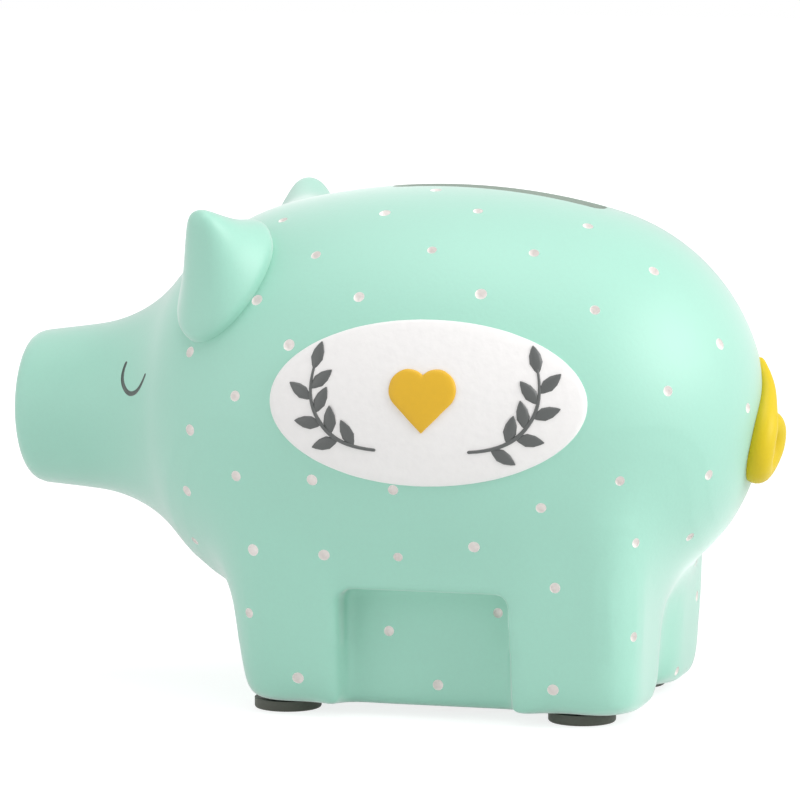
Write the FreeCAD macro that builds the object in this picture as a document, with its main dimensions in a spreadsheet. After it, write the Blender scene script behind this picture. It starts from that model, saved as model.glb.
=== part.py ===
"""Pig money box: a hollow cast body on stub legs, with ears, curled tail, plaque, foot pads and a stopper.

Millimetres, +Z up. The pig looks along -X and stands on Z = 0, with the origin midway along it.
"""
import FreeCAD, Part
import math
import os
import re
import Sketcher

V = FreeCAD.Vector
# How a sketch counts its own axes and origin, and the points of an edge.
UPRIGHT_AXIS, LEVEL_AXIS = range(-2, 0)
ORIGIN = LEVEL_AXIS
START, END, CENTRE = range(1, 4)

SIZES = [
    # Body turned about its long axis: snout, neck, cheek, back and rump.
    ("overall_length", 152.6),
    ("axis_height", 56.55),
    ("body_tilt", 1.6),
    ("barrel_radius", 43.6),
    ("barrel_x", 6.6),
    ("back_radius", 126.6),
    ("head_length", 55.9),
    ("cheek_radius", 41.6),
    ("neck_radius", 29.4),
    ("snout_radius", 15.25),
    ("snout_taper", 6.1),
    ("snout_rim", 3),
    ("wall", 4),
    ("snout_wall", 6),
    # Belly block under the barrel, and the legs at its corners.
    ("belly_length", 69),
    ("belly_width", 52),
    ("belly_corner", 8),
    ("base_centre", 14.6),
    ("belly_draft", 5),
    ("front_leg_draft", 9),
    ("rear_leg_draft", 3),
    ("floor_thickness", 6),
    ("legs_length", 77.2),
    ("legs_width", 65.6),
    ("front_leg_length", 20.5),
    ("rear_leg_length", 25),
    ("front_leg_width", 22.6),
    ("rear_leg_width", 31),
    ("leg_height", 42),
    ("leg_corner", 5.5),
    ("leg_edge", 1.6),
    # Panel sunk into each side between the legs.
    ("panel_length", 33.4),
    ("panel_x", 12.9),
    ("panel_top", 25.4),
    ("panel_depth", 5.2),
    ("panel_corner", 2),
    # Coin slot along the back.
    ("slot_length", 41),
    ("slot_width", 5),
    ("slot_corner", 2),
    ("slot_centre", 19.3),
    # Nostrils in the snout face.
    ("nostril_height", 6.4),
    ("nostril_width", 3.8),
    ("nostril_corner", 1.7),
    ("nostril_spacing", 9.5),
    ("nostril_depth", 2.5),
    # Stopper and the stepped hole that it plugs.
    ("stopper_hole", 30),
    ("flange_diameter", 36),
    ("flange_thickness", 2),
    ("stopper_clearance", 0.25),
    ("stopper_length", 8),
    ("stopper_taper", 0.5),
    ("stopper_wall", 2.6),
    ("stopper_face", 3),
    ("nail_notch_width", 12),
    ("nail_notch_reach", 4),
    # Foot pads.
    ("pad_diameter", 13),
    ("pad_thickness", 2),
    ("pad_edge", 0.5),
    ("pad_spread", 43),
    ("front_pad_ahead", 3.6),
    ("rear_pad_behind", 0.5),
    # Ears, each a petal drawn out square to the head, from a root in it to a tip.
    ("ear_x", -27.25),
    ("ear_angle", 44.2),
    ("ear_sink", 5.6),
    ("ear_lean", 22.3),
    ("ear_swing", 19.2),
    ("ear_rise", 17.9),
    ("ear_tip_uphill", 3.9),
    ("ear_tip_back", 3.7),
    ("ear_bow", 1.2),
    ("ear_root_depth", 5.4),
    ("ear_root_length", 25.6),
    ("ear_root_thickness", 17.6),
    ("ear_base_length", 27.2),
    ("ear_base_thickness", 19.2),
    ("ear_middle_share", 0.5),
    ("ear_middle_length", 14),
    ("ear_middle_thickness", 11.2),
    ("ear_tip_length", 3),
    ("ear_tip_thickness", 3),
    # Tail: a tight ring low on the rump, tilted to follow it, and a flick rising out of it.
    ("tail_ring_radius", 3.6),
    ("tail_tube_radius", 3.1),
    ("tail_ring_tilt", 18),
    ("tail_proud", 5),
    ("tail_drop", 7.7),
    ("tail_flick_length", 20),
    ("tail_flick_lean", 18),
    ("tail_flick_radius", 3),
    ("tail_flick_proud", 2.6),
    ("tail_flick_rise", 7.6),
    ("tail_flick_side", 2.4),
    # Plaque on the left flank, with a raised heart.
    ("plaque_length", 60.2),
    ("plaque_height", 30.6),
    ("plaque_x", 15.5),
    ("plaque_rise", 5.8),
    ("plaque_proud", 1.2),
    ("heart_lobe_radius", 3.7),
    ("heart_proud", 0.6),
]
ALIASES = re.compile(r"\b(" + "|".join(alias for alias, _ in SIZES) + r")\b")

doc = FreeCAD.newDocument("pig_money_box")
sheet = doc.addObject("Spreadsheet::Sheet", "sizes")
for row, (alias, value) in enumerate(SIZES, start=1):
    sheet.set(f"A{row}", alias)
    sheet.set(f"B{row}", str(value))
    sheet.setAlias(f"B{row}", alias)
doc.recompute()


def size(alias):
    return float(sheet.get(alias))


def cells(formula):
    """Point every alias in a formula at its cell."""
    return ALIASES.sub(r"sizes.\1", formula)


def bind(target, prop, formula):
    target.setExpression(prop, cells(formula))


# The snout's taper as an angle, and places along X that several pieces share.
TAPER = "snout_taper * 1 deg"
RUMP_X = "(overall_length / 2 - tail_proud)"
CHEEK_AHEAD = "(overall_length / 2 + barrel_x - head_length)"
rump_x = size("overall_length") / 2 - size("tail_proud")
cheek_ahead = size("overall_length") / 2 + size("barrel_x") - size("head_length")
# How far the cutting shapes run past the faces that they cut.
PAST = 5
# The body's long axis rises a little toward the tail.
axis_turn = FreeCAD.Rotation(V(0, 1, 0), -size("body_tilt"))
axis_place = FreeCAD.Placement(V(0, 0, size("axis_height")), axis_turn)


def on_axis(place, turn=FreeCAD.Rotation()):
    """A placement given along the body's long axis."""
    return axis_place.multiply(FreeCAD.Placement(place, turn))


def new_body(name):
    return doc.addObject("PartDesign::Body", name)


def new_sketch(body, name, role, offset=None):
    """A sketch on one of its body's own planes, moved by formulas."""
    sketch = body.newObject("Sketcher::SketchObject", name)
    plane = next(item for item in body.Origin.OriginFeatures if item.Role == role)
    sketch.AttachmentSupport = [(plane, "")]
    sketch.MapMode = "FlatFace"
    for axis, formula in (offset or {}).items():
        bind(sketch, f"AttachmentOffset.Base.{axis}", formula)
    return sketch


def drive(sketch, kind, refs, formula):
    """Add a dimension at its present value and tie it to the sheet."""
    if kind == "Radius":
        value = sketch.Geometry[refs[0]].Radius
    elif kind == "Angle":
        line = sketch.Geometry[refs[0]]
        step = line.EndPoint - line.StartPoint
        value = math.atan2(step.y, step.x)
    else:
        step = sketch.getPoint(refs[2], refs[3]) - sketch.getPoint(refs[0], refs[1])
        value = step.x if kind == "DistanceX" else step.y
    index = sketch.addConstraint(Sketcher.Constraint(kind, *refs, value))
    unit = "deg" if kind == "Angle" else "mm"
    bind(sketch, f"Constraints[{index}]", f"({formula}) * 1 {unit}")


def end_at(sketch, edge, point):
    """Which end of a sketch edge lies at a point."""
    first = sketch.getPoint(edge, START)
    last = sketch.getPoint(edge, END)
    return START if (first - point).Length < (last - point).Length else END


def add_line(sketch, first, last):
    return sketch.addGeometry(Part.LineSegment(first, last))


def add_arc(sketch, centre, first, last):
    """Add the shorter arc between two points about a centre."""
    begin = math.atan2(first.y - centre.y, first.x - centre.x)
    finish = math.atan2(last.y - centre.y, last.x - centre.x)
    turn = (finish - begin + math.pi) % (2 * math.pi) - math.pi
    low = begin if turn > 0 else finish
    circle = Part.Circle(centre, V(0, 0, 1), (first - centre).Length)
    return sketch.addGeometry(Part.ArcOfCircle(circle, low, low + abs(turn)))


def join(sketch, kind, edge_a, edge_b, point):
    refs = (edge_a, end_at(sketch, edge_a, point), edge_b, end_at(sketch, edge_b, point))
    sketch.addConstraint(Sketcher.Constraint(kind, *refs))


def turned_form(name, inset, face, inset_formula, face_formula):
    """The body's turned shape, set in from the outside by a wall; the snout end has its own inset."""
    body = new_body(name)
    body.Placement = on_axis(V(0, 0, 0))
    sketch = new_sketch(body, f"{name}_outline", "XZ_Plane")
    taper = math.radians(size("snout_taper"))
    rim = size("snout_rim")
    along = V(math.cos(taper), math.sin(taper), 0)
    out = V(-math.sin(taper), math.cos(taper), 0)
    nose = V(-size("overall_length") / 2 + face, 0, 0)
    snout_y = size("snout_radius") - inset / math.cos(taper) + face * math.tan(taper)
    rim_top = V(nose.x + rim - rim * math.sin(taper), snout_y, 0)
    rim_centre = rim_top - out * rim
    rim_low = V(nose.x, rim_centre.y, 0)

    back = size("back_radius") - inset
    cheek = size("cheek_radius") - inset
    neck = size("neck_radius") + inset
    barrel = size("barrel_radius") - inset
    tail = V(rump_x - inset, 0, 0)
    widest_x = size("barrel_x")
    reach = tail.x - widest_x
    rump = (2 * barrel * back - reach ** 2 - barrel ** 2) / (2 * (back - reach))
    back_centre = V(widest_x, barrel - back, 0)
    rump_centre = V(tail.x - rump, 0, 0)
    back_end = back_centre + (rump_centre - back_centre).normalize() * back
    lean = math.asin(cheek_ahead / size("back_radius"))
    toward_cheek = V(-math.sin(lean), math.cos(lean), 0)
    cheek_top = back_centre + toward_cheek * back
    cheek_centre = back_centre + toward_cheek * (back - cheek)
    start = rim_top + out * neck - cheek_centre
    half = start.dot(along)
    step = -half - math.sqrt(half ** 2 - start.dot(start) + (cheek + neck) ** 2)
    neck_centre = rim_top + out * neck + along * step
    neck_low = neck_centre - out * neck
    neck_top = cheek_centre + (neck_centre - cheek_centre) * (cheek / (cheek + neck))

    spine = add_line(sketch, nose, tail)
    front = add_line(sketch, nose, rim_low)
    rim_arc = add_arc(sketch, rim_centre, rim_low, rim_top)
    snout = add_line(sketch, rim_top, neck_low)
    neck_arc = add_arc(sketch, neck_centre, neck_low, neck_top)
    cheek_arc = add_arc(sketch, cheek_centre, neck_top, cheek_top)
    back_arc = add_arc(sketch, back_centre, cheek_top, back_end)
    rump_arc = add_arc(sketch, rump_centre, back_end, tail)

    join(sketch, "Coincident", spine, front, nose)
    join(sketch, "Tangent", front, rim_arc, rim_low)
    join(sketch, "Tangent", rim_arc, snout, rim_top)
    join(sketch, "Tangent", snout, neck_arc, neck_low)
    join(sketch, "Tangent", neck_arc, cheek_arc, neck_top)
    join(sketch, "Tangent", cheek_arc, back_arc, cheek_top)
    join(sketch, "Tangent", back_arc, rump_arc, back_end)
    join(sketch, "Coincident", rump_arc, spine, tail)
    for edge, point in ((spine, START), (spine, END), (rump_arc, CENTRE)):
        sketch.addConstraint(Sketcher.Constraint("PointOnObject", edge, point, LEVEL_AXIS))
    sketch.addConstraint(Sketcher.Constraint("Vertical", front))
    snout_end = end_at(sketch, snout, rim_top)
    cheek_end = end_at(sketch, cheek_arc, cheek_top)
    drive(sketch, "DistanceX", (spine, START, ORIGIN, START), f"overall_length / 2 - {face_formula}")
    drive(sketch, "DistanceX", (ORIGIN, START, spine, END), f"{RUMP_X} - {inset_formula}")
    drive(sketch, "DistanceX", (back_arc, CENTRE, spine, END), f"{RUMP_X} - barrel_x - {inset_formula}")
    drive(sketch, "DistanceY", (back_arc, CENTRE, ORIGIN, START), "back_radius - barrel_radius")
    drive(sketch, "Radius", (back_arc,), f"back_radius - {inset_formula}")
    drive(sketch, "Radius", (cheek_arc,), f"cheek_radius - {inset_formula}")
    drive(sketch, "Radius", (neck_arc,), f"neck_radius + {inset_formula}")
    drive(sketch, "Radius", (rim_arc,), "snout_rim")
    drive(sketch, "Angle", (snout,), "snout_taper")
    drive(
        sketch,
        "DistanceX",
        (cheek_arc, cheek_end, back_arc, CENTRE),
        f"{CHEEK_AHEAD} * (back_radius - {inset_formula}) / back_radius",
    )
    drive(
        sketch,
        "DistanceY",
        (ORIGIN, START, snout, snout_end),
        f"snout_radius - {inset_formula} / cos({TAPER}) + {face_formula} * tan({TAPER})",
    )
    turned = body.newObject("PartDesign::Revolution", f"{name}_turned")
    turned.Profile = sketch
    turned.ReferenceAxis = (sketch, ["H_Axis"])
    turned.Angle = 360
    return body


def round_block(name, role, centre, sides, corner, depth, offset=None, draft=None, away=False):
    """A padded rounded rectangle: centre, sides, corner and depth are formulas over the sheet."""
    body = new_body(name)
    sketch = new_sketch(body, f"{name}_outline", role, offset)
    half_x, half_y = 4, 3
    hub_x, hub_y = half_x - 1, half_y - 1
    low = add_line(sketch, V(-hub_x, -half_y, 0), V(hub_x, -half_y, 0))
    right = add_line(sketch, V(half_x, -hub_y, 0), V(half_x, hub_y, 0))
    top = add_line(sketch, V(hub_x, half_y, 0), V(-hub_x, half_y, 0))
    left = add_line(sketch, V(-half_x, hub_y, 0), V(-half_x, -hub_y, 0))
    edges = [low, right, top, left]
    hubs = [V(hub_x, -hub_y, 0), V(hub_x, hub_y, 0), V(-hub_x, hub_y, 0), V(-hub_x, -hub_y, 0)]
    arcs = []
    for index, hub in enumerate(hubs):
        before = edges[index]
        after = edges[(index + 1) % 4]
        first = sketch.getPoint(before, END)
        last = sketch.getPoint(after, START)
        arc = add_arc(sketch, hub, first, last)
        arcs.append(arc)
        join(sketch, "Tangent", before, arc, first)
        join(sketch, "Tangent", arc, after, last)
    sketch.addConstraint(Sketcher.Constraint("Horizontal", low))
    sketch.addConstraint(Sketcher.Constraint("Horizontal", top))
    sketch.addConstraint(Sketcher.Constraint("Vertical", right))
    sketch.addConstraint(Sketcher.Constraint("Vertical", left))
    for arc in arcs[1:]:
        sketch.addConstraint(Sketcher.Constraint("Equal", arcs[0], arc))
    drive(sketch, "DistanceX", (left, START, right, START), sides[0])
    drive(sketch, "DistanceY", (low, START, top, START), sides[1])
    drive(sketch, "DistanceX", (ORIGIN, START, right, START), f"{centre[0]} + ({sides[0]}) / 2")
    drive(sketch, "DistanceY", (ORIGIN, START, top, START), f"{centre[1]} + ({sides[1]}) / 2")
    drive(sketch, "Radius", (arcs[0],), corner)
    pad = body.newObject("PartDesign::Pad", f"{name}_pad")
    pad.Profile = sketch
    pad.Reversed = away
    bind(pad, "Length", depth)
    if draft:
        bind(pad, "TaperAngle", draft)
    doc.recompute()
    return body


def cut(label, base, tools):
    """Base less one or more tools, as nested cuts."""
    for index, tool in enumerate(tools):
        result = doc.addObject("Part::Cut", f"{label}_{index}" if index + 1 < len(tools) else label)
        result.Base = base
        result.Tool = tool
        base = result
    return base


def fuse(name, shapes):
    result = doc.addObject("Part::MultiFuse", name)
    result.Shapes = shapes
    result.Refine = True
    return result


def common(name, shapes):
    result = doc.addObject("Part::MultiCommon", name)
    result.Shapes = shapes
    return result


# Outside of the body: the turned form, the belly block, four legs with rounded feet and the skirt that
# joins them along each side, with a panel sunk into it.
barrel = turned_form("barrel", 0, 0, "0", "0")
belly = round_block(
    "belly", "XY_Plane", ("base_centre", "0"), ("belly_length", "belly_width"), "belly_corner",
    "axis_height - pad_thickness", {"z": "pad_thickness"}, "belly_draft",
)
legs = []
for end, sign in (("front", "-"), ("rear", "+")):
    length = f"{end}_leg_length"
    width = f"{end}_leg_width"
    for side, hand in (("left", "-"), ("right", "+")):
        name = f"leg_{end}_{side}"
        block = round_block(
            name, "XY_Plane", ("0", "0"), (length, width), "leg_corner", "leg_height",
            draft=f"{end}_leg_draft",
        )
        bind(block, "Placement.Base.x", f"base_centre {sign} (legs_length - {length}) / 2")
        bind(block, "Placement.Base.y", f"0 {hand} (legs_width - {width}) / 2")
        bind(block, "Placement.Base.z", "pad_thickness")
        pad = block.Tip
        foot = [f"Edge{n}" for n, edge in enumerate(pad.Shape.Edges, start=1) if edge.BoundBox.ZMax < 0.01]
        rounded = block.newObject("PartDesign::Fillet", f"{name}_foot")
        rounded.Base = (pad, foot)
        bind(rounded, "Radius", "leg_edge")
        legs.append(block)
skirt = round_block(
    "skirt", "XY_Plane", ("base_centre + (front_leg_length - rear_leg_length) / 4", "0"),
    ("legs_length - (front_leg_length + rear_leg_length) / 2", "legs_width"), "leg_corner", "leg_height",
    {"z": "pad_thickness"}, "belly_draft",
)
recesses = []
for side, sign, away in (("left", "", False), ("right", "-", True)):
    recess = round_block(
        f"recess_{side}", "XZ_Plane", ("panel_x", "(panel_top - panel_corner) / 2"),
        ("panel_length", "panel_top + panel_corner"), "panel_corner", "legs_width / 4",
        {"z": f"{sign}(legs_width / 2 - panel_depth)"}, away=away,
    )
    recesses.append(recess)
outside = cut("outside", fuse("outside_form", [barrel, belly, skirt] + legs), recesses)

# Hollow of the body: coin chamber, chamber floor, coin slot, stepped stopper hole, nail notch and nostrils.
chamber = turned_form("chamber", size("wall"), size("snout_wall"), "wall", "snout_wall")
well = round_block(
    "well", "XY_Plane", ("base_centre", "0"), ("belly_length - 2 * wall", "belly_width - 2 * wall"),
    "belly_corner - wall / 2", "axis_height - pad_thickness - floor_thickness",
    {"z": "pad_thickness + floor_thickness"},
)
slot = round_block(
    "slot", "XY_Plane", ("slot_centre", "0"), ("slot_length", "slot_width"), "slot_corner",
    f"barrel_radius + {PAST}", {"z": "axis_height"},
)
hole = doc.addObject("Part::Cylinder", "hole")
bind(hole, "Radius", "stopper_hole / 2")
bind(hole, "Height", f"floor_thickness + {PAST}")
flange_seat = doc.addObject("Part::Cylinder", "flange_seat")
bind(flange_seat, "Radius", "flange_diameter / 2")
bind(flange_seat, "Height", f"flange_thickness + {PAST}")
for tool in (hole, flange_seat):
    bind(tool, "Placement.Base.x", "base_centre")
bind(hole, "Placement.Base.z", "pad_thickness")
bind(flange_seat, "Placement.Base.z", f"pad_thickness - {PAST}")
notch = doc.addObject("Part::Box", "notch")
bind(notch, "Length", "flange_diameter / 2 + nail_notch_reach")
bind(notch, "Width", "nail_notch_width")
bind(notch, "Height", f"flange_thickness + {PAST}")
bind(notch, "Placement.Base.x", "base_centre")
bind(notch, "Placement.Base.y", "-nail_notch_width / 2")
bind(notch, "Placement.Base.z", f"pad_thickness - {PAST}")
nostrils = []
for side, hand in (("left", -1), ("right", 1)):
    nostril = round_block(
        f"nostril_{side}", "YZ_Plane", ("0", "0"), ("nostril_width", "nostril_height"), "nostril_corner",
        f"nostril_depth + {PAST}",
    )
    nostril.Placement = on_axis(V(-size("overall_length") / 2 - PAST, hand * size("nostril_spacing") / 2, 0))
    nostrils.append(nostril)
hollow = fuse("hollow", [chamber, well, slot, hole, flange_seat, notch] + nostrils)
body_shell = cut("body_shell", outside, [hollow])


def oval_section(body, name, height, length, thickness, shift="0", sideways="0"):
    """An oval sketch at a height over its body's base plane, with its long way along X."""
    sketch = new_sketch(body, name, "XY_Plane", {"x": shift, "y": sideways, "z": height})
    oval = sketch.addGeometry(Part.Ellipse(V(0, 0, 0), 4, 2))
    sketch.exposeInternalGeometry(oval)
    sketch.addConstraint(Sketcher.Constraint("Coincident", oval, CENTRE, ORIGIN, START))
    long_way, short_way = oval + 1, oval + 2
    sketch.addConstraint(Sketcher.Constraint("Horizontal", long_way))
    first = end_at(sketch, long_way, V(-4, 0, 0))
    drive(sketch, "DistanceX", (long_way, first, long_way, START + END - first), length)
    first = end_at(sketch, short_way, V(0, -2, 0))
    drive(sketch, "DistanceY", (short_way, first, short_way, START + END - first), thickness)
    return sketch


# Ears: drawn out through four ovals from inside the head to a blunt tip, then trimmed to the head.
ear_reach = size("barrel_radius") - size("ear_sink")
ear_spread = math.radians(size("ear_angle"))
ear_lean = math.radians(size("ear_lean"))
ear_swing = math.radians(size("ear_swing"))
ears = []
for side, hand in (("left", -1), ("right", 1)):
    blank = new_body(f"ear_{side}_blank")
    sections = [
        oval_section(blank, f"ear_{side}_root", "-ear_root_depth", "ear_root_length", "ear_root_thickness"),
        oval_section(blank, f"ear_{side}_base", "0", "ear_base_length", "ear_base_thickness"),
        oval_section(
            blank, f"ear_{side}_middle", "ear_rise * ear_middle_share",
            "ear_middle_length", "ear_middle_thickness", "ear_tip_uphill * ear_middle_share",
            f"{hand} * (ear_tip_back * ear_middle_share + ear_bow)",
        ),
        oval_section(
            blank, f"ear_{side}_tip", "ear_rise", "ear_tip_length", "ear_tip_thickness",
            "ear_tip_uphill", f"{hand} * ear_tip_back",
        ),
    ]
    drawn = blank.newObject("PartDesign::AdditiveLoft", f"ear_{side}_drawn")
    drawn.Profile = sections[0]
    drawn.Sections = sections[1:]
    radial = V(0, hand * math.sin(ear_spread), math.cos(ear_spread))
    inward = V(0, -hand * math.cos(ear_spread), math.sin(ear_spread))
    outward = radial * math.cos(ear_lean) - V(math.sin(ear_lean), 0, 0)
    back = radial * math.sin(ear_lean) + V(math.cos(ear_lean), 0, 0)
    uphill = inward * math.cos(ear_swing) + back * math.sin(ear_swing)
    turn = FreeCAD.Rotation(uphill, outward.cross(uphill), outward, "ZXY")
    blank.Placement = on_axis(V(size("ear_x"), 0, 0) + radial * ear_reach, turn)
    ears.append(cut(f"ear_{side}", blank, [outside]))

# Tail: a tight ring lying along the rump and a blunt flick rising out of it, trimmed to the rump.
ring = doc.addObject("Part::Torus", "tail_ring")
bind(ring, "Radius1", "tail_ring_radius")
bind(ring, "Radius2", "tail_tube_radius")
tail_z = -size("tail_drop")
tilt = size("tail_ring_tilt")
ring_top = size("tail_ring_radius") * math.sin(math.radians(tilt)) + size("tail_tube_radius")
ring_x = rump_x + size("tail_proud") - ring_top
ring.Placement = on_axis(V(ring_x, 0, tail_z), FreeCAD.Rotation(V(0, 1, 0), 90 + tilt))
flick = doc.addObject("Part::Ellipsoid", "tail_flick")
bind(flick, "Radius1", "tail_flick_length / 2")
bind(flick, "Radius2", "tail_flick_radius")
bind(flick, "Radius3", "tail_flick_radius")
flick_lean = FreeCAD.Rotation(V(1, 0, 0), -size("tail_flick_lean"))
# The flick's seam is turned into the rump, away from where it crosses the ring.
flick_turn = flick_lean.multiply(FreeCAD.Rotation(V(0, 0, 1), 180))
flick_x = rump_x + size("tail_flick_proud") - size("tail_flick_radius")
flick_place = V(flick_x, size("tail_flick_side"), tail_z + size("tail_flick_rise"))
flick.Placement = on_axis(flick_place, flick_turn)
curl = fuse("tail_curl", [ring, flick])
tail = cut("tail", curl, [outside])

# Plaque: an oval of skin standing proud of the left flank, and a heart standing proud of the plaque.
oval = new_body("plaque_oval")
oval_sketch = oval_section(oval, "plaque_outline", "0", "plaque_length", "plaque_height")
oval_pad = oval.newObject("PartDesign::Pad", "plaque_pad")
oval_pad.Profile = oval_sketch
bind(oval_pad, "Length", f"barrel_radius + {PAST}")
side_on = FreeCAD.Rotation(V(1, 0, 0), 90)
oval.Placement.Rotation = side_on
heart = new_body("heart_prism")
heart_sketch = new_sketch(heart, "heart_outline", "XY_Plane")
lobe = size("heart_lobe_radius")
lean = lobe * math.sqrt(2)
foot, port, starboard, cleft = V(0, -lean, 0), V(-lean, 0, 0), V(lean, 0, 0), V(0, lean, 0)
right_lobe = Part.Circle(V(lean / 2, lean / 2, 0), V(0, 0, 1), lobe)
left_lobe = Part.Circle(V(-lean / 2, lean / 2, 0), V(0, 0, 1), lobe)
quarter = math.pi / 4
right_arc = heart_sketch.addGeometry(Part.ArcOfCircle(right_lobe, -quarter, 3 * quarter))
left_arc = heart_sketch.addGeometry(Part.ArcOfCircle(left_lobe, quarter, 5 * quarter))
right_side = add_line(heart_sketch, foot, starboard)
left_side = add_line(heart_sketch, foot, port)
join(heart_sketch, "Coincident", right_side, left_side, foot)
join(heart_sketch, "Tangent", right_side, right_arc, starboard)
join(heart_sketch, "Tangent", left_side, left_arc, port)
join(heart_sketch, "Coincident", right_arc, left_arc, cleft)
heart_sketch.addConstraint(Sketcher.Constraint("PointOnObject", right_side, START, UPRIGHT_AXIS))
heart_sketch.addConstraint(Sketcher.Constraint("PointOnObject", right_arc, END, UPRIGHT_AXIS))
heart_sketch.addConstraint(Sketcher.Constraint("Perpendicular", right_side, left_side))
drive(heart_sketch, "Radius", (right_arc,), "heart_lobe_radius")
drive(heart_sketch, "Radius", (left_arc,), "heart_lobe_radius")
drive(heart_sketch, "DistanceX", (right_side, START, right_side, END), "heart_lobe_radius * sqrt(2)")
drive(heart_sketch, "DistanceY", (right_side, START, ORIGIN, START), "heart_lobe_radius * sqrt(2)")
heart_pad = heart.newObject("PartDesign::Pad", "heart_pad")
heart_pad.Profile = heart_sketch
bind(heart_pad, "Length", f"barrel_radius + {PAST}")
heart.Placement.Rotation = side_on
for prism in (oval, heart):
    bind(prism, "Placement.Base.x", "plaque_x")
    bind(prism, "Placement.Base.z", "axis_height + plaque_rise")
plaque_skin = turned_form("plaque_skin", -size("plaque_proud"), 0, "(-plaque_proud)", "0")
heart_rise = size("plaque_proud") + size("heart_proud")
heart_skin = turned_form("heart_skin", -heart_rise, 0, "(-plaque_proud - heart_proud)", "0")
plaque = cut("plaque", common("plaque_patch", [oval, plaque_skin]), [outside])
plaque_heart = cut("plaque_heart", common("heart_patch", [heart, heart_skin]), [plaque_skin])

# Foot pads: discs under the legs.
pads = []
for end, sign, length, shift in (
    ("front", "-", "front_leg_length", "- front_pad_ahead"),
    ("rear", "+", "rear_leg_length", "+ rear_pad_behind"),
):
    for side, hand in (("left", "-"), ("right", "+")):
        name = f"foot_pad_{end}_{side}"
        disc = new_body(name)
        sketch = new_sketch(disc, f"{name}_outline", "XY_Plane")
        rim = sketch.addGeometry(Part.Circle(V(0, 0, 0), V(0, 0, 1), 5))
        sketch.addConstraint(Sketcher.Constraint("Coincident", rim, CENTRE, ORIGIN, START))
        drive(sketch, "Radius", (rim,), "pad_diameter / 2")
        pad = disc.newObject("PartDesign::Pad", f"{name}_pad")
        pad.Profile = sketch
        bind(pad, "Length", "pad_thickness")
        doc.recompute()
        lower = [f"Edge{n}" for n, edge in enumerate(pad.Shape.Edges, start=1) if edge.BoundBox.ZMax < 0.01]
        rounded = disc.newObject("PartDesign::Fillet", f"{name}_edge")
        rounded.Base = (pad, lower)
        bind(rounded, "Radius", "pad_edge")
        bind(disc, "Placement.Base.x", f"base_centre {sign} (legs_length - {length}) / 2 {shift}")
        bind(disc, "Placement.Base.y", f"0 {hand} pad_spread / 2")
        pads.append(disc)

# Stopper: a flanged cup, closed below, that plugs the stepped hole.
stopper = new_body("stopper")
stopper_sketch = new_sketch(stopper, "stopper_outline", "XZ_Plane")
FLANGE = "(flange_diameter / 2 - stopper_clearance)"
PLUG = "(stopper_hole / 2 - stopper_clearance)"
TOP = "(flange_thickness + stopper_length)"
corners = [
    ("0", "0"),
    (FLANGE, "0"),
    (FLANGE, "flange_thickness"),
    (PLUG, "flange_thickness"),
    (f"({PLUG} - stopper_taper)", TOP),
    (f"({PLUG} - stopper_taper - stopper_wall)", TOP),
    (f"({PLUG} - stopper_taper - stopper_wall)", "stopper_face"),
    ("0", "stopper_face"),
]
flange = size("flange_diameter") / 2 - size("stopper_clearance")
plug = size("stopper_hole") / 2 - size("stopper_clearance")
tip = plug - size("stopper_taper")
cup = tip - size("stopper_wall")
top = size("flange_thickness") + size("stopper_length")
places = [
    V(0, 0, 0),
    V(flange, 0, 0),
    V(flange, size("flange_thickness"), 0),
    V(plug, size("flange_thickness"), 0),
    V(tip, top, 0),
    V(cup, top, 0),
    V(cup, size("stopper_face"), 0),
    V(0, size("stopper_face"), 0),
]
count = len(places)
for index, place in enumerate(places):
    add_line(stopper_sketch, place, places[(index + 1) % count])
for index in range(count):
    after = (index + 1) % count
    stopper_sketch.addConstraint(Sketcher.Constraint("Coincident", index, END, after, START))
for index, (across, up) in enumerate(corners):
    if across == "0":
        stopper_sketch.addConstraint(Sketcher.Constraint("PointOnObject", index, START, UPRIGHT_AXIS))
    else:
        drive(stopper_sketch, "DistanceX", (ORIGIN, START, index, START), across)
    if up == "0":
        stopper_sketch.addConstraint(Sketcher.Constraint("PointOnObject", index, START, LEVEL_AXIS))
    else:
        drive(stopper_sketch, "DistanceY", (ORIGIN, START, index, START), up)
stopper_turned = stopper.newObject("PartDesign::Revolution", "stopper_turned")
stopper_turned.Profile = stopper_sketch
stopper_turned.ReferenceAxis = (stopper_sketch, ["V_Axis"])
stopper_turned.Angle = 360
bind(stopper, "Placement.Base.x", "base_centre")
bind(stopper, "Placement.Base.z", "pad_thickness")

doc.recompute()
failed = [item.Name for item in doc.Objects if {"Invalid", "Error"} & set(item.State)]
if failed:
    raise RuntimeError(f"failed objects: {failed}")

nodes = [body_shell] + ears + [tail, plaque, plaque_heart] + pads + [stopper]
for node in nodes:
    shape = node.Shape
    if shape.isNull() or not shape.isValid() or len(shape.Solids) != 1:
        raise RuntimeError(f"{node.Label}: {len(shape.Solids)} solids, valid {shape.isValid()}")

os.makedirs("parts", exist_ok=True)
for node in nodes:
    node.Shape.exportStep(f"parts/{node.Label}.step")
    box = node.Shape.BoundBox
    print(
        f"{node.Label}: {node.Shape.Volume:.1f} mm3, "
        f"X {box.XMin:.2f} {box.XMax:.2f}, Y {box.YMin:.2f} {box.YMax:.2f}, Z {box.ZMin:.2f} {box.ZMax:.2f}"
    )
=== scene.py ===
"""Looks of a pig money box: a hollow resin casting, painted mint with white dots, on its CAD frame.

Run as a script, it dresses the frame piece by piece through its own operators and sets a small
white studio with a camera at the viewing angle of the photograph.
"""
import math
import random

import bmesh
import bpy
from bpy.props import FloatProperty, FloatVectorProperty, IntProperty, PointerProperty
from mathutils import Matrix, Vector
from mathutils.bvhtree import BVHTree
from mathutils.kdtree import KDTree


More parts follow.
